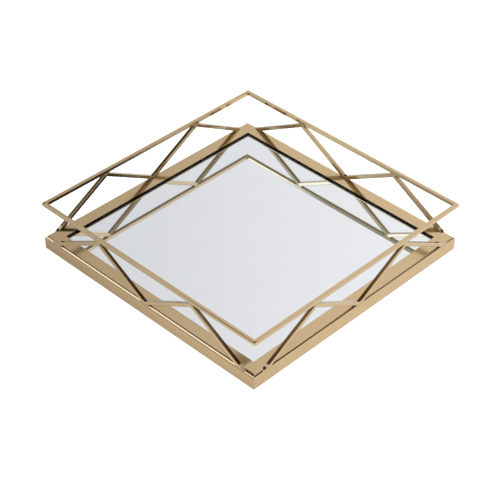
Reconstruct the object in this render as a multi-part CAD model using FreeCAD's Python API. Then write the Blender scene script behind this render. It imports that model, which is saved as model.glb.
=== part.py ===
import FreeCAD, Part
import math
import os

from FreeCAD import Rotation, Vector

# Square vanity tray: a mirror floor held in a bent sheet metal rim, with a low
# gallery of square bars welded on top in a zigzag.
# Millimetres, +Z up.  Origin: middle of the tray, on the table it stands on.
# The front of the tray faces -Y, the right side +X.

# ---- driving dimensions -------------------------------------------------------
SIDE = 300.0              # outside width and depth of the tray
WALL_HEIGHT = 15.0        # outer wall of the rim
GALLERY_HEIGHT = 43.0     # from the top of the rim to the top of the gallery
STANDOFF = 1.0            # the rubber feet hold the rim this far off the table
SHEET = 1.0               # sheet metal of the rim
BEND_RADIUS = 2.8         # outside radius of the bend along the top of the wall
LEDGE_WIDTH = 15.6        # flat ledge of the rim, from the outside face inwards
BAR = 4.0                 # square bar of the gallery
BAR_EDGE = 0.4            # rounding of the edges of the bar
CORNER_FOOT_INSET = 19.0  # from a corner of the rim to the nearest foot of the zigzag
APEX_DROP = 1.8           # centre lines of two struts meet this far under the top rail

GLASS = 4.0               # mirror glass
SILVERING = 0.2           # silver and its paint on the back of the glass
CARD = 1.0                # soft card between mirror and board
BOARD = 3.0               # back board
FELT = 1.0                # felt on the underside of the board
GLASS_CLEARANCE = 1.0     # between the glass and the inside of the wall
BOARD_CLEARANCE = 1.5     # between the board and the inside of the wall
FELT_INSET = 22.0         # from the outside of the rim to the edge of the felt

TAB_OFFSET = 75.0         # tabs sit this far left and right of the middle of a side
TAB_WIDTH = 14.0
TAB_REACH = 14.0          # under the board, from the inside of the wall
TAB_DROP = 4.0            # leg of the tab that is welded to the wall
TAB_SHEET = 1.0
TAB_SCREW_INSET = 9.0     # screw axis, from the inside of the wall

SCREW_SHANK = 2.5         # diameters and lengths of the little pan head screws
SCREW_HEAD = 5.0
SCREW_HEAD_HEIGHT = 1.2
SCREW_BITE = 2.6          # length of shank inside the board
RECESS_WIDTH = 0.8        # cross recess in the screw head
RECESS_LENGTH = 2.8
RECESS_DEPTH = 0.6
SCREW_CLEARANCE = 3.0     # hole in a tab or foot for the shank to pass

FOOT_INSET = 12.0         # axis of a rubber foot, from the outside of the rim
FOOT_TOP = 12.0           # diameter against the board
FOOT_BOTTOM = 10.0        # diameter on the table
FOOT_COUNTERBORE = 5.8
FOOT_COUNTERBORE_DEPTH = 3.4
FOOT_EDGE = 0.6           # rounding around the bottom of a foot

# ---- heights and widths that follow from them ----------------------------------
HALF = SIDE / 2
WALL_TOP = STANDOFF + WALL_HEIGHT
GLASS_TOP = WALL_TOP - SHEET
SILVER_TOP = GLASS_TOP - GLASS
CARD_TOP = SILVER_TOP - SILVERING
BOARD_TOP = CARD_TOP - CARD
BOARD_UNDERSIDE = BOARD_TOP - BOARD
GALLERY_TOP = WALL_TOP + GALLERY_HEIGHT
RAIL_UNDERSIDE = GALLERY_TOP - BAR
WALL_INSIDE = HALF - SHEET
SCREW_TIP = BOARD_UNDERSIDE + SCREW_BITE

# The zigzag of one side: five points at an even pitch, low, high, low, high, low.
PITCH = (SIDE - 2 * CORNER_FOOT_INSET) / 4
APEX_HEIGHT = RAIL_UNDERSIDE - APEX_DROP

SIDES = ("front", "right", "back", "left")
CORNERS = ("front_right", "back_right", "back_left", "front_left")
TOLERANCE = 1e-6          # for finding edges by length or height


# ---- helpers -------------------------------------------------------------------
def turned(shape, quarter_turns):
    """A copy of a shape of the front side, turned about Z to another side."""
    copy = shape.copy()
    copy.rotate(Vector(0, 0, 0), Vector(0, 0, 1), 90 * quarter_turns)
    return copy


def square_plate(half_width, top, thickness):
    """A square plate centred on the Z axis."""
    corner = Vector(-half_width, -half_width, top - thickness)
    return Part.makeBox(2 * half_width, 2 * half_width, thickness, corner)


def mitred(shape):
    """A rail of the front side with both of its ends cut at 45 degrees."""
    outline = Part.makePolygon([
        Vector(-HALF, -HALF, 0),
        Vector(HALF, -HALF, 0),
        Vector(0, 0, 0),
        Vector(-HALF, -HALF, 0),
    ])
    wedge = Part.Face(outline).extrude(Vector(0, 0, GALLERY_TOP))
    return shape.common(wedge)


def bar(length):
    """Square bar along X from the origin, its section centred on the X axis."""
    square = Part.makeBox(length, BAR, BAR, Vector(0, -BAR / 2, -BAR / 2))
    long_edges = []
    for edge in square.Edges:
        if abs(edge.Length - length) < TOLERANCE:
            long_edges.append(edge)
    return square.makeFillet(BAR_EDGE, long_edges)


def edges_at_height(shape, height):
    """The edges of a shape that lie wholly at or below one height."""
    return [edge for edge in shape.Edges if edge.BoundBox.ZMax < height + TOLERANCE]


def pan_head_screw(seat):
    """Screw on the Z axis into the board: the head hangs below its seat."""
    head_bottom = seat - SCREW_HEAD_HEIGHT
    head = Part.makeCylinder(SCREW_HEAD / 2, SCREW_HEAD_HEIGHT, Vector(0, 0, head_bottom))
    head = head.makeFillet(SCREW_HEAD_HEIGHT / 2, edges_at_height(head, head_bottom))
    screw = head.fuse(Part.makeCylinder(SCREW_SHANK / 2, SCREW_TIP - seat, Vector(0, 0, seat)))
    for length, width in ((RECESS_LENGTH, RECESS_WIDTH), (RECESS_WIDTH, RECESS_LENGTH)):
        corner = Vector(-length / 2, -width / 2, head_bottom)
        screw = screw.cut(Part.makeBox(length, width, RECESS_DEPTH, corner))
    return screw.removeSplitter()


def screws_at(places, seat):
    """Identical screws, kept together as separate solids."""
    screws = []
    for place in places:
        screw = pan_head_screw(seat)
        screw.translate(place)
        screws.append(screw)
    return Part.makeCompound(screws)


def screw_hole(place, diameter, bottom, top):
    return Part.makeCylinder(diameter / 2, top - bottom, Vector(place.x, place.y, bottom))


def save(shape, node):
    shape.exportStep("parts/" + node + ".step")


# ---- rim: four bent rails, mitred and welded at the corners ----------------------
def base_rail():
    """Front rail: outer wall, rounded bend, and the ledge that covers the glass."""
    bend = math.sqrt(0.5)
    inner_radius = BEND_RADIUS - SHEET
    outside = -HALF
    inside = -HALF + SHEET
    ledge_edge = -HALF + LEDGE_WIDTH
    centre_y = -HALF + BEND_RADIUS
    centre_z = WALL_TOP - BEND_RADIUS

    def at(y, z):
        return Vector(-HALF, y, z)

    outer_arc = Part.Arc(
        at(outside, centre_z),
        at(centre_y - BEND_RADIUS * bend, centre_z + BEND_RADIUS * bend),
        at(centre_y, WALL_TOP),
    ).toShape()
    inner_arc = Part.Arc(
        at(centre_y, GLASS_TOP),
        at(centre_y - inner_radius * bend, centre_z + inner_radius * bend),
        at(inside, centre_z),
    ).toShape()
    outline = Part.Wire([
        Part.makeLine(at(outside, STANDOFF), at(outside, centre_z)),
        outer_arc,
        Part.makeLine(at(centre_y, WALL_TOP), at(ledge_edge, WALL_TOP)),
        Part.makeLine(at(ledge_edge, WALL_TOP), at(ledge_edge, GLASS_TOP)),
        Part.makeLine(at(ledge_edge, GLASS_TOP), at(centre_y, GLASS_TOP)),
        inner_arc,
        Part.makeLine(at(inside, centre_z), at(inside, STANDOFF)),
        Part.makeLine(at(inside, STANDOFF), at(outside, STANDOFF)),
    ])
    return mitred(Part.Face(outline).extrude(Vector(SIDE, 0, 0)))


# ---- gallery: top rails and zigzag struts ----------------------------------------
def top_rail():
    rail = bar(SIDE)
    rail.translate(Vector(-HALF, -HALF + BAR / 2, GALLERY_TOP - BAR / 2))
    return mitred(rail)


def strut(start, end, left_cut, right_cut):
    """Bar of the front side between two neighbouring points of the zigzag.

    Each point is the (x, z) of a meeting of centre lines.  The bar is cut level
    at the rim and at the top rail, and upright at left_cut and right_cut, where
    it meets the next strut of the zigzag.
    """
    run = end[0] - start[0]
    rise = end[1] - start[1]
    spare = 3 * BAR
    shape = bar(math.hypot(run, rise) + 2 * spare)
    shape.translate(Vector(-spare, 0, 0))
    shape.rotate(Vector(0, 0, 0), Vector(0, -1, 0), math.degrees(math.atan2(rise, run)))
    shape.translate(Vector(start[0], -HALF + BAR / 2, start[1]))
    window = Part.makeBox(
        right_cut - left_cut, BAR, RAIL_UNDERSIDE - WALL_TOP, Vector(left_cut, -HALF, WALL_TOP)
    )
    return shape.common(window)


def zigzag():
    """The four struts of the front side, from left to right."""
    points = []
    for step in range(-2, 3):
        height = APEX_HEIGHT if step % 2 else WALL_TOP
        points.append((step * PITCH, height))
    cuts = (-HALF, -PITCH, 0, PITCH, HALF)
    struts = []
    for number in range(4):
        nearest = cuts[number]
        farthest = cuts[number + 1]
        struts.append(strut(points[number], points[number + 1], nearest, farthest))
    return struts


# ---- floor: mirror, card, back board and felt --------------------------------------
def around(spot):
    """A place on the front side, and the same place on the other three sides."""
    return [Rotation(Vector(0, 0, 1), 90 * turn).multVec(spot) for turn in range(4)]


def tab_screw_places():
    inset = WALL_INSIDE - TAB_SCREW_INSET
    left = around(Vector(-TAB_OFFSET, -inset, 0))
    right = around(Vector(TAB_OFFSET, -inset, 0))
    return left + right


def foot_places():
    return around(Vector(HALF - FOOT_INSET, -HALF + FOOT_INSET, 0))


def back_board():
    board = square_plate(WALL_INSIDE - BOARD_CLEARANCE, BOARD_TOP, BOARD)
    for place in tab_screw_places() + foot_places():
        board = board.cut(screw_hole(place, SCREW_SHANK, BOARD_UNDERSIDE, SCREW_TIP))
    return board


# ---- what holds the floor in the rim ----------------------------------------------
def retaining_tab(offset):
    """Bent tab of the front side: one leg welded to the wall, one under the board."""
    left = offset - TAB_WIDTH / 2
    flat = Part.makeBox(
        TAB_WIDTH, TAB_REACH, TAB_SHEET, Vector(left, -WALL_INSIDE, BOARD_UNDERSIDE - TAB_SHEET)
    )
    leg = Part.makeBox(
        TAB_WIDTH, TAB_SHEET, TAB_DROP, Vector(left, -WALL_INSIDE, BOARD_UNDERSIDE - TAB_DROP)
    )
    place = Vector(offset, -WALL_INSIDE + TAB_SCREW_INSET, 0)
    hole = screw_hole(place, SCREW_CLEARANCE, BOARD_UNDERSIDE - TAB_SHEET, BOARD_UNDERSIDE)
    return flat.fuse(leg).cut(hole).removeSplitter()


# ---- rubber feet --------------------------------------------------------------------
def rubber_foot():
    """Tapered foot on the Z axis, from the table up to the board."""
    foot = Part.makeCone(FOOT_BOTTOM / 2, FOOT_TOP / 2, BOARD_UNDERSIDE)
    foot = foot.makeFillet(FOOT_EDGE, edges_at_height(foot, 0))
    axis = Vector(0, 0, 0)
    foot = foot.cut(screw_hole(axis, FOOT_COUNTERBORE, 0, FOOT_COUNTERBORE_DEPTH))
    return foot.cut(screw_hole(axis, SCREW_CLEARANCE, 0, BOARD_UNDERSIDE))


# ---- build ----------------------------------------------------------------------------
os.makedirs("parts", exist_ok=True)

front_base_rail = base_rail()
front_top_rail = top_rail()
front_struts = zigzag()
for turn, side in enumerate(SIDES):
    save(turned(front_base_rail, turn), "base_rail_" + side)
    save(turned(front_top_rail, turn), "top_rail_" + side)
    for number, shape in enumerate(front_struts, start=1):
        save(turned(shape, turn), "strut_" + side + "_" + str(number))
    for number, offset in enumerate((-TAB_OFFSET, TAB_OFFSET), start=1):
        save(turned(retaining_tab(offset), turn), "retaining_tab_" + side + "_" + str(number))

for place, corner in zip(foot_places(), CORNERS):
    foot = rubber_foot()
    foot.translate(place)
    save(foot, "rubber_foot_" + corner)

save(square_plate(WALL_INSIDE - GLASS_CLEARANCE, GLASS_TOP, GLASS), "mirror_glass")
save(square_plate(WALL_INSIDE - GLASS_CLEARANCE, SILVER_TOP, SILVERING), "mirror_silvering")
save(square_plate(WALL_INSIDE - BOARD_CLEARANCE, CARD_TOP, CARD), "card_sheet")
save(back_board(), "back_board")
save(square_plate(HALF - FELT_INSET, BOARD_UNDERSIDE, FELT), "felt_cover")
save(screws_at(tab_screw_places(), BOARD_UNDERSIDE - TAB_SHEET), "tab_screws")
save(screws_at(foot_places(), FOOT_COUNTERBORE_DEPTH), "foot_screws")
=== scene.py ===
import math

import bmesh
import bpy
from mathutils import Matrix, Vector


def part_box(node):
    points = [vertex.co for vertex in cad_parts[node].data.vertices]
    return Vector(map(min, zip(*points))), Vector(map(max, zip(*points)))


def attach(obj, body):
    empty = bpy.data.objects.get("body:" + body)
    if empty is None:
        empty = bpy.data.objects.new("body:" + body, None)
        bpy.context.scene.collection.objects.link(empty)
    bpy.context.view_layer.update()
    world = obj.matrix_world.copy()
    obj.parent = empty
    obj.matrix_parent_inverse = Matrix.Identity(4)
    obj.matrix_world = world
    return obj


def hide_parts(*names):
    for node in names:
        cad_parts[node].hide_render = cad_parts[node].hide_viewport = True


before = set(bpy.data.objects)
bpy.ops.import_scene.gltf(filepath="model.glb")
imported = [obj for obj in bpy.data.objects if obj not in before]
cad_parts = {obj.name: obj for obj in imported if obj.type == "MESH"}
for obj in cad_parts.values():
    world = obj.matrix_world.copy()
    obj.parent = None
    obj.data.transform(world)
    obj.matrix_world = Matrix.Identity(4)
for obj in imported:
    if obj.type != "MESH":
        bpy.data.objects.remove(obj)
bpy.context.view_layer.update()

# Vanity tray: mirror floor, bent metal rim and a welded gallery of square bars.
# Metres, in the frame of the CAD model: +Z up, front of the tray towards -Y.

MM = 0.001

# ---- places, from the frame -----------------------------------------------------
RIM_LOW, RIM_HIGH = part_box("base_rail_front")
RAIL_LOW, RAIL_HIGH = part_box("top_rail_front")
GLASS_LOW, GLASS_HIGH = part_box("mirror_glass")
STRUT_LOW, STRUT_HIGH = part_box("strut_front_2")

HALF = RIM_HIGH.x
BAR = RAIL_HIGH.y - RAIL_LOW.y
LEDGE = RIM_HIGH.z
LEDGE_WIDTH = RIM_HIGH.y - RIM_LOW.y
GLASS_CORNER = HALF - LEDGE_WIDTH      # where the ledges meet at a corner of the glass
RAIL_UNDERSIDE = RAIL_LOW.z
RAIL_TOP = RAIL_HIGH.z
PITCH = STRUT_HIGH.x - STRUT_LOW.x
BEND = 2.8 * MM                        # outside radius of the bend along the top of the rim
APEX_DROP = 1.8 * MM                   # two struts' centre lines meet this far under the ring

SLOPE = math.atan2(RAIL_UNDERSIDE - APEX_DROP - LEDGE, PITCH)
HALF_BAR = BAR / 2 / math.cos(SLOPE)   # half a strut, measured upright
HALF_FOOT = BAR / 2 / math.sin(SLOPE)  # half a strut, measured along the ledge

SIDES = ("front", "right", "back", "left")
CORNERS = ("front_right", "back_right", "back_left", "front_left")

# ---- camera -----------------------------------------------------------------------
VIEW_AZIMUTH = math.radians(43.465)
VIEW_ELEVATION = math.radians(38.612)
VIEW_ROLL = math.radians(1.082)
VIEW_DISTANCE = 1.611
VIEW_TARGET = Vector((0.0021, -0.0027, RIM_LOW.z))
LENS = 111.8


# ---- node graph helper -------------------------------------------------------------
class Graph:
    """Adds and joins the nodes of one node tree."""

    def __init__(self, tree):
        self.tree = tree
        tree.nodes.clear()

    def node(self, kind, inputs=None, **settings):
        item = self.tree.nodes.new(kind)
        for name, value in settings.items():
            setattr(item, name, value)
        for name, value in (inputs or {}).items():
            self.put(item.inputs[name], value)
        return item

    def put(self, socket, value):
        if isinstance(value, bpy.types.NodeSocket):
            self.tree.links.new(value, socket)
        else:
            socket.default_value = value

    def math(self, operation, first, second=0.0):
        item = self.node("ShaderNodeMath", operation=operation)
        self.put(item.inputs[0], first)
        self.put(item.inputs[1], second)
        return item.outputs[0]

    def absolute(self, value):
        return self.math("ABSOLUTE", value)

    def product(self, first, *others):
        """All the values multiplied together."""
        for other in others:
            first = self.math("MULTIPLY", first, other)
        return first

    def complement(self, value):
        """One minus the value."""
        return self.math("SUBTRACT", 1.0, value)

    def step(self, value, start, end):
        """Smooth rise from 0 to 1 as value goes from start to end."""
        item = self.node(
            "ShaderNodeMapRange",
            {"Value": value, "From Min": start, "From Max": end},
            interpolation_type="SMOOTHSTEP",
        )
        return item.outputs["Result"]

    def scale(self, value, low, high):
        """Value 0 to 1 becomes low to high."""
        item = self.node("ShaderNodeMapRange", {"Value": value, "To Min": low, "To Max": high})
        return item.outputs["Result"]

    def split(self, vector):
        """The X, Y and Z of a vector."""
        parts = self.node("ShaderNodeSeparateXYZ", {"Vector": vector})
        return parts.outputs["X"], parts.outputs["Y"], parts.outputs["Z"]

    def colour(self, factor, first, second, blend="MIX"):
        item = self.node("ShaderNodeMix", data_type="RGBA", blend_type=blend)
        self.put(item.inputs["Factor"], factor)
        self.put(item.inputs[6], first)
        self.put(item.inputs[7], second)
        return item.outputs[2]

    def where(self):
        """The place of the point being shaded, on its own piece."""
        return self.node("ShaderNodeTexCoord").outputs["Object"]

    def noise(self, coordinates, period, detail=2.0, rough=0.5):
        """Noise with features of about the given size in metres."""
        item = self.node(
            "ShaderNodeTexNoise",
            {"Vector": coordinates, "Scale": 1.0 / period, "Detail": detail, "Roughness": rough},
        )
        return item.outputs[0]

    def bump(self, height, depth, normal=None):
        item = self.node("ShaderNodeBump", {"Height": height, "Strength": 1.0, "Distance": depth})
        if normal is not None:
            self.put(item.inputs["Normal"], normal)
        return item.outputs["Normal"]

    def principled(self, inputs):
        return self.node("ShaderNodeBsdfPrincipled", inputs).outputs[0]

    def mix_shaders(self, factor, first, second):
        mixed = self.node("ShaderNodeMixShader", {"Fac": factor})
        self.put(mixed.inputs[1], first)
        self.put(mixed.inputs[2], second)
        return mixed.outputs[0]

    def finish(self, shader):
        target = self.node("ShaderNodeOutputMaterial")
        self.put(target.inputs["Surface"], shader)


def rgb(red, green, blue):
    return (red, green, blue, 1.0)


def new_material(name):
    material = bpy.data.materials.new(name)
    material.use_nodes = True
    return material, Graph(material.node_tree)


def dress(node, material):
    """Gives a CAD node its material."""
    mesh_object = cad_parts[node]
    mesh_object.data.materials.clear()
    mesh_object.data.materials.append(material)


def side_turn(number):
    """Turns what is made for the front to the side of that number."""
    return Matrix.Rotation(number * math.pi / 2, 3, "Z")


def distance_out(graph, x, y):
    """How far a place is from the middle of the tray, counted in squares around it."""
    return graph.math("MAXIMUM", graph.absolute(x), graph.absolute(y))


# ---- gold metal ----------------------------------------------------------------------
GOLD = rgb(0.63, 0.465, 0.255)
GOLD_DEEP = rgb(0.57, 0.405, 0.205)
GOLD_PALE = rgb(0.72, 0.58, 0.38)
# dark of the painted shade and painted dark reflections on the gold
GOLD_PAINTED_DARK = rgb(0.16, 0.085, 0.03)
# painted shade on upright faces seen in the mirror
GOLD_SHADED = rgb(0.06, 0.045, 0.012)
# black of the painted shade of the gap at the glass
GAP_SHADE_BLACK = rgb(0.004, 0.004, 0.004)
# painted light: the black glows faintly where seen in a second reflection
GAP_PAINTED_LIGHT = rgb(0.22, 0.17, 0.10)

BAR_ROUGHNESS = 0.08
RIM_ROUGHNESS = 0.15
WELD_ROUGHNESS = 0.2

ROUNDED_EDGE_RADIUS = 0.45 * MM    # of the rounded edges, worn paler and given a painted highlight
CORNER_SHADE_REACH = 6 * MM         # corners narrower than this get painted shade
MARK_WIDTH = 0.25 * MM       # of the grinding marks
MARK_DEPTH = 0.0008 * MM
WAVE_LENGTH = 9 * MM         # of the unevenness left by polishing
WAVE_DEPTH = 0.03 * MM
MOTTLE_SIZE = 1.6 * MM
PATCH_SIZE = 22 * MM


class Point:
    """What a gold material asks about the point being shaded."""

    def __init__(self, graph):
        geometry = graph.node("ShaderNodeNewGeometry")
        path = graph.node("ShaderNodeLightPath")
        self.where = graph.where()
        self.normal = geometry.outputs["Normal"]
        self.x, self.y, self.height = graph.split(geometry.outputs["Position"])
        self.facing_up = graph.split(self.normal)[2]
        self.glass_passes = path.outputs["Transmission Depth"]
        self.bounces = path.outputs["Glossy Depth"]
        self.mottle = graph.noise(self.where, MOTTLE_SIZE, detail=4.0, rough=0.6)


def grinding_marks(graph, point, grain):
    """Noise that is long along the grain and fine across it."""
    along = Vector(grain).normalized()
    turn = along.to_track_quat("X", "Z").inverted().to_euler()
    turned = graph.node("ShaderNodeMapping", {"Vector": point.where, "Rotation": turn}).outputs[0]
    stretched = graph.node(
        "ShaderNodeMapping", {"Vector": turned, "Scale": (0.02, 1.0, 1.0)}
    ).outputs[0]
    return graph.noise(stretched, MARK_WIDTH, detail=3.0)


def rubbed_and_highlit_edges(graph, point, rounded):
    """Edges paler, partly rubbed wear and partly painted highlight: where a rounded normal leaves
    the true one.
    """
    alike = graph.node("ShaderNodeVectorMath", operation="DOT_PRODUCT")
    graph.put(alike.inputs[0], rounded)
    graph.put(alike.inputs[1], point.normal)
    return graph.product(graph.step(alike.outputs["Value"], 0.995, 0.90), 0.5)


def painted_corner_shade(graph, point):
    """Painted shade in corners and creases, where ambient occlusion finds other faces near."""
    nearby = graph.node("ShaderNodeAmbientOcclusion", {"Distance": CORNER_SHADE_REACH}, samples=6)
    open_air = graph.math("ADD", nearby.outputs["AO"], graph.scale(point.mottle, -0.05, 0.05))
    return graph.product(graph.step(open_air, 0.62, 0.30), 0.75)


def painted_foot_shade(graph, point, amount):
    """Painted shade on the upper faces of a strut, darker down towards its foot."""
    low = graph.step(point.height, LEDGE + 26 * MM, LEDGE + 2 * MM)
    upper = graph.step(point.facing_up, 0.2, 0.6)
    return graph.product(low, upper, amount)


def scrubbed_foot(graph, point):
    """Pale, matt upper faces right above the weld of a foot."""
    upper = graph.step(point.facing_up, 0.2, 0.6)
    return graph.product(upper, graph.step(point.height, LEDGE + 3.4 * MM, LEDGE + 2.4 * MM))


def painted_dark_points(graph, point):
    """The top of the two front points of the ring: painted dark reflection off a filed facet."""
    reach = graph.math("ADD", graph.absolute(point.x), graph.absolute(point.y))
    start = 2 * HALF - BAR
    return graph.product(
        graph.step(reach, start - 0.3 * MM, start + 0.1 * MM),
        graph.step(point.facing_up, 0.6, 0.8),
        graph.math("LESS_THAN", point.y, 0.0),
    )


def painted_dark_arris(graph, point):
    """The outer top arris of the front bar: painted dark reflection, darker towards its right
    point.
    """
    from_arris = graph.math("SUBTRACT", point.y, point.height)
    from_arris = graph.math("ADD", from_arris, HALF + RAIL_TOP)
    return graph.product(
        graph.step(from_arris, 0.8 * MM, 0.6 * MM),
        graph.step(point.x, 0.1 * HALF, 0.7 * HALF),
    )


def painted_ledge_reflection(graph, point):
    """Painted dark reflection on the flat of the ledge, growing towards the right corner of the
    glass.
    """
    return graph.product(
        graph.step(point.x, GLASS_CORNER - 35 * MM, GLASS_CORNER - 8 * MM),
        graph.step(point.x, GLASS_CORNER, GLASS_CORNER - 5 * MM),
        graph.math("GREATER_THAN", point.facing_up, 0.99),
        graph.scale(point.mottle, 0.65, 0.85),
    )


def painted_bend_reflection(graph, point):
    """Painted dark reflection beyond the right foot, on the bend and the first of the ledge."""
    ledge_start = BEND - HALF
    return graph.product(
        graph.math("GREATER_THAN", point.x, 2 * PITCH + 4 * MM),
        graph.step(point.facing_up, 0.72, 0.80),
        graph.step(point.y, ledge_start + 1.8 * MM, ledge_start + 1.0 * MM),
        0.85,
    )


def shaded_in_mirror(graph, point, amount):
    """Painted shade on upright faces, where they are seen through the glass."""
    through_glass = graph.math("GREATER_THAN", point.glass_passes, 0.5)
    upright = graph.math("LESS_THAN", graph.absolute(point.facing_up), 0.3)
    return graph.product(through_glass, upright, amount)


def painted_gap_shade(graph, point):
    """Black tape under the ledge and over its cut edge: painted shade of the gap at the glass.

    Seen through the glass, the cut edge stays gold.
    """
    under = graph.math("LESS_THAN", point.facing_up, -0.9)
    out = distance_out(graph, point.x, point.y)
    cut_edge = graph.product(
        graph.math("LESS_THAN", out, GLASS_CORNER + 0.05 * MM),
        graph.math("LESS_THAN", point.glass_passes, 0.5),
    )
    on_glass = graph.math("GREATER_THAN", point.height, GLASS_HIGH.z - 0.1 * MM)
    return graph.product(graph.math("MAXIMUM", under, cut_edge), on_glass)


def gold(name, grain, roughness, foot_shade=0.0, gap_shaded=False, mitred=False, painted_right_corner=False,
         mirror_shade_amount=0.0):
    """Champagne gold plating on metal that was ground along the direction `grain`.

    foot_shade: how much painted shade darkens upper faces, down at the feet.
    gap_shaded: black painted shade lies between this piece and the glass, and on its cut edge.
    mitred: a bar of the ring, with painted dark reflections on its filed points and front arris.
    painted_right_corner: the rail with painted dark reflections on ledge and bend near its right
    mitre's weld.
    mirror_shade_amount: how much painted shade upright faces get in the mirror, on a bar
    of the ring only towards the right.
    """
    material, graph = new_material(name)
    point = Point(graph)
    marks = grinding_marks(graph, point, grain)
    patches = graph.noise(point.where, PATCH_SIZE, detail=3.0)
    rounded = graph.node("ShaderNodeBevel", {"Radius": ROUNDED_EDGE_RADIUS}, samples=4).outputs[0]

    colour = graph.colour(graph.scale(patches, 0.0, 0.35), GOLD, GOLD_DEEP)
    colour = graph.colour(graph.scale(point.mottle, 0.0, 0.10), colour, GOLD_PALE)
    # paler edges: partly wear, partly a painted highlight
    colour = graph.colour(rubbed_and_highlit_edges(graph, point, rounded), colour, GOLD_PALE)
    # painted shade in the corners and creases
    colour = graph.colour(painted_corner_shade(graph, point), colour, GOLD_PAINTED_DARK)
    rough = graph.scale(patches, roughness * 0.85, roughness * 1.15)
    rough = graph.math("ADD", rough, graph.scale(marks, -0.02, 0.02))
    metal = 1.0
    painted_light = 0.0

    if foot_shade:
        foot = scrubbed_foot(graph, point)
        # painted shade on the upper faces, down at the feet
        colour = graph.colour(painted_foot_shade(graph, point, foot_shade), colour, GOLD_PAINTED_DARK)
        colour = graph.colour(foot, colour, GOLD_PALE)
        rough = graph.math("ADD", rough, graph.product(foot, 0.6))
    if mitred:
        # painted dark reflections on the points and the front arris
        dark = graph.math("MAXIMUM", painted_dark_points(graph, point), painted_dark_arris(graph, point))
        colour = graph.colour(graph.product(dark, 0.9), colour, GOLD_PAINTED_DARK)
    if painted_right_corner:
        # painted dark reflections on the ledge and bend near the right corner
        corner_dark = graph.math("MAXIMUM", painted_ledge_reflection(graph, point), painted_bend_reflection(graph, point))
        colour = graph.colour(corner_dark, colour, GOLD_PAINTED_DARK)
    if mirror_shade_amount:
        # painted shade on upright faces seen through the glass
        mirror_shade = shaded_in_mirror(graph, point, mirror_shade_amount)
        if mitred:
            mirror_shade = graph.product(mirror_shade, graph.step(point.x, -0.72 * HALF, -0.12 * HALF))
        colour = graph.colour(mirror_shade, colour, GOLD_SHADED)
    if gap_shaded:
        # black painted shade under the ledge and on its cut edge
        gap_shade = painted_gap_shade(graph, point)
        colour = graph.colour(gap_shade, colour, GAP_SHADE_BLACK)
        metal = graph.complement(gap_shade)
        rough = graph.math("MAXIMUM", rough, gap_shade)
        # painted light, where the black is seen after a second reflection
        painted_light = graph.product(gap_shade, graph.math("GREATER_THAN", point.bounces, 1.5))

    waves = graph.noise(point.where, WAVE_LENGTH, detail=1.0)
    normal = graph.bump(waves, WAVE_DEPTH, rounded)
    normal = graph.bump(marks, MARK_DEPTH, normal)
    graph.finish(graph.principled({
        "Base Color": colour,
        "Metallic": metal,
        "Roughness": rough,
        "Normal": normal,
        "Specular IOR Level": 0.0,
        "Emission Color": GAP_PAINTED_LIGHT,
        "Emission Strength": painted_light,
    }))
    return material


def dress_metal():
    rise = STRUT_HIGH.z - STRUT_LOW.z
    for number, side in enumerate(SIDES):
        turn = side_turn(number)
        along = turn @ Vector((1, 0, 0))
        rim = gold(
            "gold_level_" + side, along, RIM_ROUGHNESS, gap_shaded=True, painted_right_corner=side == "front"
        )
        ring = gold(
            "gold_bar_" + side, along, BAR_ROUGHNESS, mitred=True,
            mirror_shade_amount=0.82 if side == "back" else 0.0,
        )
        dress("base_rail_" + side, rim)
        dress("top_rail_" + side, ring)
        for tab in (1, 2):
            dress("retaining_tab_" + side + "_" + str(tab), rim)

        # strength of the painted shade on the struts' upper faces
        foot_shade = 0.85 if side in ("front", "right") else 0.35
        for strut, climb in enumerate((1, -1, 1, -1), start=1):
            grain = turn @ Vector((PITCH, 0, climb * rise))
            name = "strut_" + side + "_" + str(strut)
            if (climb > 0) == (side in ("right", "back")):
                bar = gold("gold_" + name, grain, BAR_ROUGHNESS, foot_shade=foot_shade)
            else:
                bar = gold("gold_" + name, grain, BAR_ROUGHNESS, mirror_shade_amount=0.7)
            dress(name, bar)


# ---- welds -------------------------------------------------------------------------------
RING_FILL = 0.75 * MM        # radius of the hollow welds under the ring
LEDGE_FILL = 0.5 * MM        # and of those on the ledge
MIDDLE_BEAD = 1.2 * MM       # radius of the bead on a middle foot
END_BEAD = 1.5 * MM          # and of the one at an end foot
END_BEAD_SIDES = {"front": 0, "right": -1, "back": -1, "left": 1}
SHARP_ANGLE = math.radians(35)


def loft(shape, rings):
    """Closed skin over rings of points: sides between neighbours, a cap at each end."""
    loops = [[shape.verts.new(point) for point in ring] for ring in rings]
    for first, second in zip(loops, loops[1:]):
        for number, corner in enumerate(first):
            following = (number + 1) % len(first)
            shape.faces.new((corner, first[following], second[following], second[number]))
    shape.faces.new(loops[0][::-1])
    shape.faces.new(loops[-1])


def foot_fill(shape, middle):
    """Weld between a foot and the rounded top of the wall, ground flush with the wall.

    Across the rim it grows from the bend itself, at its ends, to a full square
    corner under the foot.
    """
    full = 4.1 * MM
    reach = 6.4 * MM
    stations = 16
    arc_steps = 8
    proud = 0.01 * MM
    buried = 0.2 * MM
    squareness = 9.0
    centre_y = -HALF + BEND
    centre_z = LEDGE - BEND
    rings = []
    for station in range(stations + 1):
        x = middle + reach * (2 * station / stations - 1)
        spare = max(0.0, abs(x - middle) - full) / (reach - full)
        fullness = 0.5 + 0.5 * math.cos(math.pi * spare)
        outer = []
        inner = []
        for step in range(arc_steps + 1):
            angle = math.radians(90 * step / arc_steps)
            cosine = math.cos(angle)
            sine = math.sin(angle)
            corner = (cosine ** squareness + sine ** squareness) ** (-1 / squareness)
            swollen = BEND * (1 + (corner - 1) * fullness) + proud
            sunk = BEND - buried
            outer.append(Vector((x, centre_y - swollen * cosine, centre_z + swollen * sine)))
            inner.append(Vector((x, centre_y - sunk * cosine, centre_z + sunk * sine)))
        rings.append(outer + inner[::-1])
    loft(shape, rings)


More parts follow.
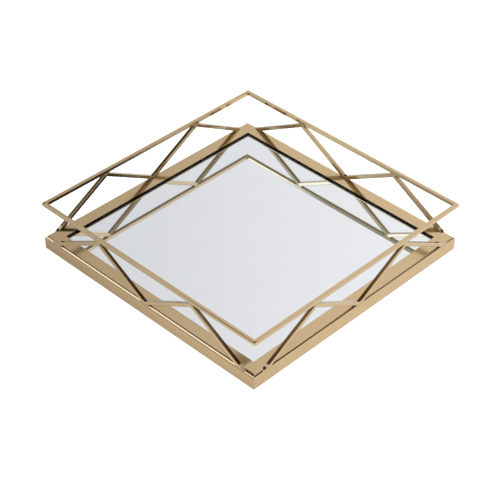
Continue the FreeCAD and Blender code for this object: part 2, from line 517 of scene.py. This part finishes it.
def wedge_fill(shape, tip, low_side, high_side, radius):
    """Weld in the corner between two faces of the bars, hollow towards the open side.

    tip: (x, z) where the faces meet; low_side and high_side: angles of the two
    faces seen from there; radius: of the hollow between them.
    """
    buried = 0.3 * MM
    inset = 0.15 * MM
    steps = 6
    opening = high_side - low_side
    middle = (low_side + high_side) / 2
    bisector = Vector((math.cos(middle), math.sin(middle)))
    corner = Vector(tip)
    centre = corner + radius / math.sin(opening / 2) * bisector
    outline = [corner - buried * bisector]
    sweep = math.pi - opening
    for step in range(steps + 1):
        angle = middle + math.pi + sweep * (step / steps - 0.5)
        outline.append(centre + radius * Vector((math.cos(angle), math.sin(angle))))
    rings = []
    for y in (-HALF + inset, -HALF + BAR - inset):
        rings.append([Vector((point.x, y, point.y)) for point in outline])
    loft(shape, rings)


def bead(shape, x, z, radius):
    """Rounded weld bead across a bar, sunk a little into it, thinning out at both ends."""
    stations = 8
    points = 10
    width = 0.9 * BAR
    rings = []
    for station in range(stations + 1):
        along = 2 * station / stations - 1
        girth = radius * math.sqrt(max(0.04, 1 - along * along))
        y = -HALF + BAR / 2 + along * width / 2
        ring = []
        for point in range(points):
            angle = 2 * math.pi * point / points
            ring.append(Vector((x + girth * math.cos(angle), y, z + girth * math.sin(angle))))
        rings.append(ring)
    loft(shape, rings)


def foot_welds(shape):
    for step in (-2, 0, 2):
        foot_fill(shape, step * PITCH)


def bar_welds(shape):
    """Welds in the corners of the zigzag, under the ring and on the ledge."""
    apex_gap = (HALF_BAR - APEX_DROP) / math.tan(SLOPE)
    for step in (-1, 1):
        right = (step * PITCH + apex_gap, RAIL_UNDERSIDE)
        left = (step * PITCH - apex_gap, RAIL_UNDERSIDE)
        wedge_fill(shape, right, -SLOPE, 0.0, RING_FILL)
        wedge_fill(shape, left, math.pi, math.pi + SLOPE, RING_FILL)
    for step in (-2, 0, 2):
        right = (step * PITCH + HALF_FOOT, LEDGE)
        left = (step * PITCH - HALF_FOOT, LEDGE)
        if step < 2:
            wedge_fill(shape, right, 0.0, SLOPE, LEDGE_FILL)
        if step > -2:
            wedge_fill(shape, left, math.pi - SLOPE, math.pi, LEDGE_FILL)


def weld_beads(shape, end):
    """A bead on the middle foot, and one at the left (-1), right (1) or no (0) end foot."""
    bead(shape, 0.0, LEDGE + HALF_BAR + 0.4 * MM, MIDDLE_BEAD)
    if end:
        end_x = end * (2 * PITCH + HALF_FOOT - 1.2 * MM)
        bead(shape, end_x, LEDGE + 0.6 * MM, END_BEAD)


def dark_bead_material():
    """Near-black crust on the weld beads."""
    material, graph = new_material("dark_weld_bead")
    crust = graph.noise(graph.where(), 0.6 * MM, detail=4.0, rough=0.6)
    graph.finish(graph.principled({
        "Base Color": graph.colour(crust, rgb(0.012, 0.007, 0.004), rgb(0.05, 0.03, 0.015)),
        "Metallic": 0.6,
        "Roughness": graph.scale(crust, 0.35, 0.6),
        "Normal": graph.bump(crust, 0.05 * MM),
    }))
    return material


def weld_piece(name, number, fill, material=None):
    """One mesh with all the welds that `fill` makes for the front, turned to its side."""
    turn = side_turn(number)
    name = name + "_" + SIDES[number]
    shape = bmesh.new()
    fill(shape)
    bmesh.ops.recalc_face_normals(shape, faces=list(shape.faces))
    bmesh.ops.rotate(shape, verts=list(shape.verts), cent=(0, 0, 0), matrix=turn)
    for face in shape.faces:
        face.smooth = True
    mesh = bpy.data.meshes.new(name)
    shape.to_mesh(mesh)
    shape.free()
    mesh.set_sharp_from_angle(angle=SHARP_ANGLE)
    piece = bpy.data.objects.new(name, mesh)
    bpy.context.collection.objects.link(piece)
    if material is None:
        material = gold("gold_" + name, turn @ Vector((1, 0, 0)), WELD_ROUGHNESS)
    piece.data.materials.append(material)
    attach(piece, "root")


def make_welds():
    dark_crust = dark_bead_material()
    for number, side in enumerate(SIDES):
        end = END_BEAD_SIDES[side]
        weld_piece("foot_welds", number, foot_welds)
        weld_piece("bar_welds", number, bar_welds)
        weld_piece("weld_beads", number, lambda shape: weld_beads(shape, end), dark_crust)


# ---- mirror ------------------------------------------------------------------------------
GROUND_EDGE = 0.4 * MM       # flat ground along the edges of the glass
CONTACT = 0.02 * MM          # how far the glass dips into the silver


def glass_material():
    """Clear glass, with a little haze where it was wiped."""
    material, graph = new_material("float_glass")
    wipes = graph.noise(graph.where(), 45 * MM, detail=5.0, rough=0.6)
    graph.finish(graph.principled({
        "Base Color": rgb(0.985, 0.995, 0.99),
        "Roughness": graph.scale(graph.step(wipes, 0.62, 0.8), 0.0, 0.015),
        "IOR": 1.52,
        "Specular Tint": rgb(0.0, 0.0, 0.0),
        "Transmission Weight": 1.0,
    }))
    return material


def silver_material():
    """Silver towards the glass, brown protective paint on its back."""
    material, graph = new_material("silvering")
    normal = graph.node("ShaderNodeNewGeometry").outputs["Normal"]
    facing_up = graph.split(normal)[2]
    spots = graph.noise(graph.where(), 6 * MM, detail=5.0)
    silver = graph.principled({
        "Base Color": graph.colour(spots, rgb(0.93, 0.94, 0.945), rgb(0.945, 0.95, 0.955)),
        "Metallic": 1.0,
        "Roughness": 0.0,
    })
    paint = graph.principled({
        "Base Color": graph.colour(spots, rgb(0.16, 0.10, 0.07), rgb(0.24, 0.15, 0.10)),
        "Roughness": graph.scale(spots, 0.45, 0.65),
        "Normal": graph.bump(spots, 0.05 * MM),
    })
    front = graph.math("GREATER_THAN", facing_up, 0.5)
    graph.finish(graph.mix_shaders(front, paint, silver))
    return material


def plate_with_arris(name, low, high, arris):
    """A rectangular plate whose edges are ground to a small flat."""
    mesh = bpy.data.meshes.new(name)
    shape = bmesh.new()
    bmesh.ops.create_cube(shape, size=1.0)
    for corner in shape.verts:
        corner.co = Vector(
            (high[axis] if corner.co[axis] > 0 else low[axis]) for axis in range(3)
        )
    bmesh.ops.bevel(
        shape, geom=list(shape.edges), offset=arris, segments=1, affect="EDGES", profile=0.5
    )
    shape.to_mesh(mesh)
    shape.free()
    plate = bpy.data.objects.new(name, mesh)
    bpy.context.collection.objects.link(plate)
    return plate


def make_mirror():
    """The glass dips a hair into the silver so that light meets the silver first."""
    dip = Vector((0, 0, CONTACT))
    plate = plate_with_arris("mirror_plate", GLASS_LOW - dip, GLASS_HIGH - dip, GROUND_EDGE)
    plate.data.materials.append(glass_material())
    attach(plate, "root")
    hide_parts("mirror_glass")
    dress("mirror_silvering", silver_material())


# ---- hidden pieces below the mirror --------------------------------------------------------
def fibre_material(name, dark, light, fibre, roughness, depth):
    """Card, fibreboard, felt or rubber: two colours, mixed by noise the size of a fibre."""
    material, graph = new_material(name)
    where = graph.where()
    fibres = graph.noise(where, fibre, detail=8.0, rough=0.7)
    clouds = graph.noise(where, fibre * 30, detail=3.0)
    colour = graph.colour(graph.step(fibres, 0.3, 0.7), dark, light)
    graph.finish(graph.principled({
        "Base Color": graph.colour(graph.scale(clouds, 0.0, 0.4), colour, dark),
        "Roughness": graph.scale(clouds, roughness * 0.92, roughness),
        "Normal": graph.bump(fibres, depth),
    }))
    return material


def steel_material():
    """Zinc plated steel of the little screws."""
    material, graph = new_material("zinc_plated_steel")
    fine = graph.noise(graph.where(), 0.4 * MM, detail=4.0)
    graph.finish(graph.principled({
        "Base Color": graph.colour(fine, rgb(0.55, 0.56, 0.57), rgb(0.68, 0.68, 0.66)),
        "Metallic": 1.0,
        "Roughness": graph.scale(fine, 0.25, 0.42),
        "Normal": graph.bump(fine, 0.01 * MM),
    }))
    return material


def dress_underside():
    card = fibre_material(
        "grey_card", rgb(0.30, 0.27, 0.22), rgb(0.46, 0.42, 0.35),
        fibre=0.7 * MM, roughness=0.9, depth=0.05 * MM,
    )
    board = fibre_material(
        "fibreboard", rgb(0.20, 0.13, 0.075), rgb(0.34, 0.23, 0.13),
        fibre=0.5 * MM, roughness=0.75, depth=0.04 * MM,
    )
    felt = fibre_material(
        "black_felt", rgb(0.010, 0.010, 0.011), rgb(0.035, 0.035, 0.038),
        fibre=0.35 * MM, roughness=1.0, depth=0.25 * MM,
    )
    rubber = fibre_material(
        "foot_rubber", rgb(0.016, 0.016, 0.016), rgb(0.03, 0.03, 0.03),
        fibre=0.3 * MM, roughness=0.7, depth=0.01 * MM,
    )
    steel = steel_material()
    dress("card_sheet", card)
    dress("back_board", board)
    dress("felt_cover", felt)
    for corner in CORNERS:
        dress("rubber_foot_" + corner, rubber)
    dress("tab_screws", steel)
    dress("foot_screws", steel)


# ---- studio ----------------------------------------------------------------------------------
# Its places are directions: right, away and up are the parts of a unit vector that
# are level across the picture, level into it, and straight up.
TABLE_REACH = 6.0           # from the tray to the edge of the table, as good as endless


def view_direction(graph, direction):
    """Turns a world direction into right, away and up as the camera stands."""
    turned = graph.node(
        "ShaderNodeVectorRotate",
        {"Vector": direction, "Angle": -VIEW_AZIMUTH},
        rotation_type="Z_AXIS",
    ).outputs[0]
    return graph.split(turned)


class Ray:
    """Where a ray leaves the scene, as the camera stands, and what sent it there.

    by_mirror: it comes out of the glass.  dry: it never went through the glass.
    twice: it was mirrored twice or more.  by_metal: dry and twice, so metal shows in metal.
    """

    def __init__(self, graph):
        direction = graph.node("ShaderNodeTexCoord").outputs["Generated"]
        path = graph.node("ShaderNodeLightPath")
        self.right, self.away, self.up = view_direction(graph, direction)
        self.from_camera = path.outputs["Is Camera Ray"]
        self.by_mirror = path.outputs["Is Transmission Ray"]
        self.dry = graph.math("LESS_THAN", path.outputs["Transmission Depth"], 0.5)
        self.twice = graph.math("GREATER_THAN", path.outputs["Glossy Depth"], 1.5)
        self.by_metal = graph.product(self.twice, self.dry)


def back_wall(graph, ray):
    """Darker on the left.  The mirror sees an evener wall than the metal."""
    wall = graph.colour(
        graph.step(ray.right, -0.17, 0.10), rgb(0.60, 0.605, 0.61), rgb(1.0, 1.0, 1.05)
    )
    even_wall = graph.colour(
        graph.step(ray.right, -0.22, 0.22), rgb(0.66, 0.67, 0.70), rgb(0.95, 0.95, 0.97)
    )
    return graph.colour(ray.by_mirror, wall, even_wall)


def add_ceiling(graph, ray, colour):
    """Dark ceiling, tilted a little, with a hole over the back on the right.

    It ends before the zenith and on the near side.  A plain view in the mirror
    doesn't show it: only the metal does, in the mirror too.
    """
    tilted = graph.math("SUBTRACT", ray.up, graph.product(ray.right, 0.06))
    on_right = graph.step(ray.right, -0.05, 0.10)
    hole = graph.product(on_right, graph.step(ray.away, 0.31, 0.37))
    plain_mirror = graph.math("SUBTRACT", ray.by_mirror, ray.twice)
    cover = graph.product(
        graph.step(tilted, 0.725, 0.775),
        graph.complement(hole),
        graph.step(ray.up, 0.97, 0.93),
        graph.step(ray.away, -0.30, -0.18),
        graph.math("LESS_THAN", plain_mirror, 0.5),
    )
    right_part = graph.colour(
        graph.step(ray.up, 0.785, 0.84), rgb(0.27, 0.24, 0.20), rgb(0.075, 0.052, 0.028)
    )
    left_part = graph.colour(
        graph.step(ray.away, 0.19, 0.27), rgb(0.24, 0.185, 0.125), rgb(0.07, 0.05, 0.03)
    )
    left_part = graph.colour(
        graph.step(ray.away, 0.29, 0.36), left_part, rgb(0.03, 0.018, 0.008)
    )
    return graph.colour(cover, colour, graph.colour(on_right, left_part, right_part))


def add_right_flags(graph, ray, colour):
    """Two dark flags on the right.

    The lower one is missing only where metal shows in the mirror.  Its near part is
    dark, and its far part pale in the mirror and where metal shows in metal.
    """
    high_flag = graph.product(
        graph.step(ray.right, 0.55, 0.60),
        graph.step(ray.up, 0.64, 0.70),
        graph.step(ray.away, 0.27, 0.23),
    )
    colour = graph.colour(high_flag, colour, rgb(0.09, 0.07, 0.05))
    low_flag = graph.product(
        graph.step(ray.right, 0.60, 0.70),
        graph.step(ray.up, 0.20, 0.35),
        graph.step(ray.right, 0.95, 0.91),
        graph.math("MAXIMUM", ray.by_mirror, ray.dry),
    )
    far_part = graph.colour(ray.by_mirror, rgb(0.14, 0.11, 0.07), rgb(0.76, 0.80, 0.90))
    far_part = graph.colour(ray.by_metal, far_part, rgb(0.74, 0.68, 0.60))
    flag_colour = graph.colour(
        graph.step(ray.away, -0.012, -0.038), far_part, rgb(0.04, 0.03, 0.02)
    )
    return graph.colour(low_flag, colour, flag_colour)


def add_left_box(graph, ray, colour):
    """Bright light box on the left, with a taller part that the glass never shows.

    In the mirror it is grey, with one bright stripe, and where metal shows in
    metal it is dim and golden.
    """
    box = graph.product(
        graph.step(ray.right, -0.62, -0.72),
        graph.step(ray.up, 0.26, 0.38),
        graph.step(ray.up, 0.70, 0.64),
    )
    tall_part = graph.product(
        graph.step(ray.right, -0.58, -0.62),
        graph.step(ray.away, 0.23, 0.20),
        graph.step(ray.up, 0.62, 0.66),
        graph.step(ray.up, 0.80, 0.76),
        ray.dry,
    )
    box = graph.math("MAXIMUM", box, tall_part)
    in_mirror = graph.colour(
        graph.step(ray.away, -0.05, -0.08), rgb(0.52, 0.55, 0.58), rgb(1.0, 1.08, 1.15)
    )
    in_mirror = graph.colour(
        graph.step(ray.away, -0.09, -0.15), in_mirror, rgb(0.50, 0.50, 0.48)
    )
    box_colour = graph.colour(ray.by_mirror, rgb(1.72, 2.0, 2.5), in_mirror)
    box_colour = graph.colour(ray.by_metal, box_colour, rgb(0.50, 0.42, 0.28))
    return graph.colour(box, colour, box_colour)


def cooled(graph, ray, colour):
    """Metal that shows in metal looks cooler, and so does gold in the mirror."""
    colour = graph.colour(ray.by_metal, colour, rgb(0.95, 1.15, 1.6), blend="MULTIPLY")
    gold_in_mirror = graph.complement(graph.math("MAXIMUM", ray.dry, ray.by_mirror))
    return graph.colour(gold_in_mirror, colour, rgb(1.0, 1.08, 1.25), blend="MULTIPLY")


def make_world():
    """White for the camera; walls, flags and a light box for what the tray reflects."""
    world = bpy.data.worlds.new("studio")
    world.use_nodes = True
    bpy.context.scene.world = world
    graph = Graph(world.node_tree)
    ray = Ray(graph)
    colour = back_wall(graph, ray)
    colour = add_ceiling(graph, ray, colour)
    colour = add_right_flags(graph, ray, colour)
    colour = add_left_box(graph, ray, colour)
    colour = cooled(graph, ray, colour)
    colour = graph.colour(ray.from_camera, colour, rgb(1.0, 1.0, 1.0))
    background = graph.node("ShaderNodeBackground", {"Color": colour})
    target = graph.node("ShaderNodeOutputWorld")
    graph.put(target.inputs["Surface"], background.outputs[0])


def table_for_camera(graph):
    """White paper that glows enough to leave only a faint shadow."""
    grain = graph.noise(graph.where(), 3 * MM, detail=3.0)
    paper = graph.colour(grain, rgb(0.80, 0.80, 0.80), rgb(0.84, 0.84, 0.84))
    shaded = graph.node("ShaderNodeBsdfDiffuse", {"Color": paper})
    lift = graph.node("ShaderNodeEmission", {"Color": rgb(1, 1, 1), "Strength": 0.80})
    both = graph.node("ShaderNodeAddShader")
    graph.put(both.inputs[0], shaded.outputs[0])
    graph.put(both.inputs[1], lift.outputs[0])
    return both.outputs[0]


def table_for_reflections(graph, place):
    """The table as the tray reflects it: cool far from the tray, warm close to it."""
    onward = graph.node("ShaderNodeVectorMath", {"Scale": -1.0}, operation="SCALE")
    graph.put(onward.inputs[0], place.outputs["Incoming"])
    right, away, up = view_direction(graph, onward.outputs[0])
    x, y, _ = graph.split(place.outputs["Position"])
    clear = graph.math("SUBTRACT", distance_out(graph, x, y), HALF)
    tint = graph.colour(
        graph.step(clear, 15 * MM, 75 * MM), rgb(1.0, 0.96, 0.95), rgb(1.04, 1.14, 1.34)
    )

    # Dimmer on the left, unless seen steeply, and again close to the tray, as a painted shadow.
    # Dark where it is seen past the tray, as painted shade, and where it is seen steeper still.
    level = graph.node("ShaderNodeMix", {"Factor": graph.step(right, -0.3, 0.3)}, data_type="FLOAT")
    graph.put(level.inputs[2], graph.scale(graph.step(up, -0.615, -0.70), 0.60, 1.13))
    graph.put(level.inputs[3], 1.04)
    # painted shadow of the tray on the table, close to it on the left
    shaded_left = graph.product(
        graph.step(clear, 14 * MM, 2 * MM), graph.step(right, 0.0, -0.3), 0.16
    )
    beyond = graph.product(graph.step(away, 0.35, 0.55), graph.step(up, -0.35, -0.50))
    beneath = graph.step(up, -0.695, -0.73)
    behind = graph.math(
        "MINIMUM", graph.scale(beyond, 1.0, 0.33), graph.scale(beneath, 1.0, 0.22)
    )
    strength = graph.product(level.outputs[0], graph.complement(shaded_left), behind)
    return graph.node("ShaderNodeEmission", {"Color": tint, "Strength": strength}).outputs[0]


def floor_material():
    """White table, clear from below so that the underside of the tray can be seen."""
    material, graph = new_material("white_table")
    place = graph.node("ShaderNodeNewGeometry")
    from_camera = graph.node("ShaderNodeLightPath").outputs["Is Camera Ray"]
    table = graph.mix_shaders(
        from_camera, table_for_reflections(graph, place), table_for_camera(graph)
    )
    nothing = graph.node("ShaderNodeBsdfTransparent").outputs[0]
    graph.finish(graph.mix_shaders(place.outputs["Backfacing"], table, nothing))
    return material


def make_floor():
    reach = TABLE_REACH
    corners = [(-reach, -reach, 0), (reach, -reach, 0), (reach, reach, 0), (-reach, reach, 0)]
    mesh = bpy.data.meshes.new("floor")
    mesh.from_pydata(corners, [], [(0, 1, 2, 3)])
    floor = bpy.data.objects.new("floor", mesh)
    floor.data.materials.append(floor_material())
    bpy.context.collection.objects.link(floor)


def make_camera():
    back = Vector((
        math.sin(VIEW_AZIMUTH) * math.cos(VIEW_ELEVATION),
        -math.cos(VIEW_AZIMUTH) * math.cos(VIEW_ELEVATION),
        math.sin(VIEW_ELEVATION),
    ))
    camera = bpy.data.objects.new("camera", bpy.data.cameras.new("camera"))
    camera.data.lens = LENS
    camera.location = VIEW_TARGET + back * VIEW_DISTANCE
    level = (-back).to_track_quat("-Z", "Y")
    camera.rotation_mode = "QUATERNION"
    camera.rotation_quaternion = level @ Matrix.Rotation(VIEW_ROLL, 3, "Z").to_quaternion()
    bpy.context.collection.objects.link(camera)
    bpy.context.scene.camera = camera


# ---- build --------------------------------------------------------------------------------------
dress_metal()
make_welds()
make_mirror()
dress_underside()
make_world()
make_floor()
make_camera()
bpy.context.scene.view_settings.view_transform = "Standard"
